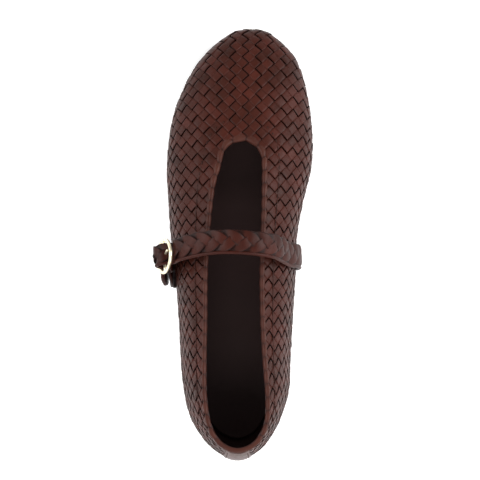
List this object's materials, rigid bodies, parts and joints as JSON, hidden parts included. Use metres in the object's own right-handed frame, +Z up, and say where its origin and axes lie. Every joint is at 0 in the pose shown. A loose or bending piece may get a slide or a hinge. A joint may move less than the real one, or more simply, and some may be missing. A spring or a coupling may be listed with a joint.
{
  "type": "mary jane flat shoe",
  "caption": "Women's round-toe flat in plaited leather with a low heel, an instep strap and an oval ring buckle; left shoe.",
  "frame": {"origin": "on the floor at the middle of the heel's flat underside", "axes": "+Y to the toe, +X to the medial side, +Z up"},
  "size_m": [0.0917, 0.2504, 0.0718],
  "materials": {
    "plaited_leather": "dark brown leather strips, satin, plaited",
    "sole_leather": "dark brown, smooth edge, satin",
    "lining_leather": "near-black brown, smooth, matte",
    "polished_brass": "polished pale brass"
  },
  "bodies": {
    "root": {"outsole": "sole_leather", "heel": "sole_leather", "insole": "lining_leather", "upper": "plaited_leather", "strap": "plaited_leather", "anchor_tab": "plaited_leather", "buckle_frame": "polished_brass", "buckle_prong": "polished_brass"}
  },
  "joints": []
}
